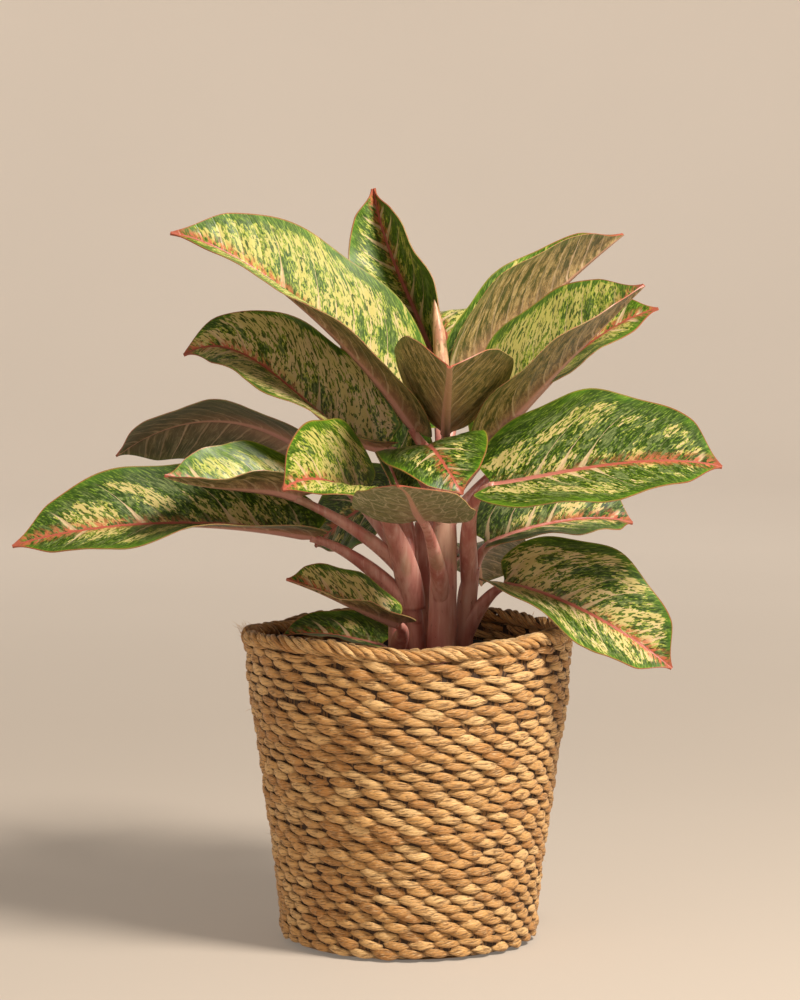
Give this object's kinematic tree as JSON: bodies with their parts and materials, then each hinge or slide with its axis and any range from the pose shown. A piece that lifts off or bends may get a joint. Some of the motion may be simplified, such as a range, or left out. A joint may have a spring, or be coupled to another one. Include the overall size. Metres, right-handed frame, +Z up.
{
  "type": "potted foliage plant in a woven basket",
  "caption": "Bushy potted foliage plant with broad pointed leaves splashed with cream on pink stalks, in a nursery pot inside a round basket of twined seagrass",
  "frame": {"origin": "centre of the basket's foot, on the surface that it stands on", "axes": "+Z up, +X to the right in the picture, +Y away from the viewer"},
  "size_m": [0.5194, 0.3589, 0.5564],
  "materials": {
    "seagrass": "matte",
    "pot": "satin",
    "soil": "matte",
    "stalk": "satin",
    "leaf": "satin",
    "spear": "satin"
  },
  "bodies": {
    "root": {"basket_body": "seagrass", "basket_rim": "seagrass", "leaf_back_left": "leaf", "leaf_back_low": "leaf", "leaf_back_right": "leaf", "leaf_back_top": "leaf", "leaf_behind_left": "leaf", "leaf_crown_back": "leaf", "leaf_crown_front": "leaf", "leaf_dark_left": "leaf", "leaf_front": "leaf", "leaf_front_left": "leaf", "leaf_front_right": "leaf", "leaf_in_basket": "leaf", "leaf_inner_left": "leaf", "leaf_long_left": "leaf", "leaf_low_left": "leaf", "leaf_mid_left": "leaf", "leaf_right_big": "leaf", "leaf_right_low": "leaf", "leaf_right_mid": "leaf", "leaf_small_left": "leaf", "leaf_spear": "spear", "leaf_upper_left": "leaf", "leaf_upper_right": "leaf", "leaf_upper_right_back": "leaf", "leaf_upper_right_low": "leaf", "nursery_pot": "pot", "potting_mix": "soil", "shoot_back": "stalk", "shoot_center": "stalk", "shoot_left": "stalk", "shoot_mid": "stalk", "shoot_right": "stalk"}
  },
  "joints": []
}
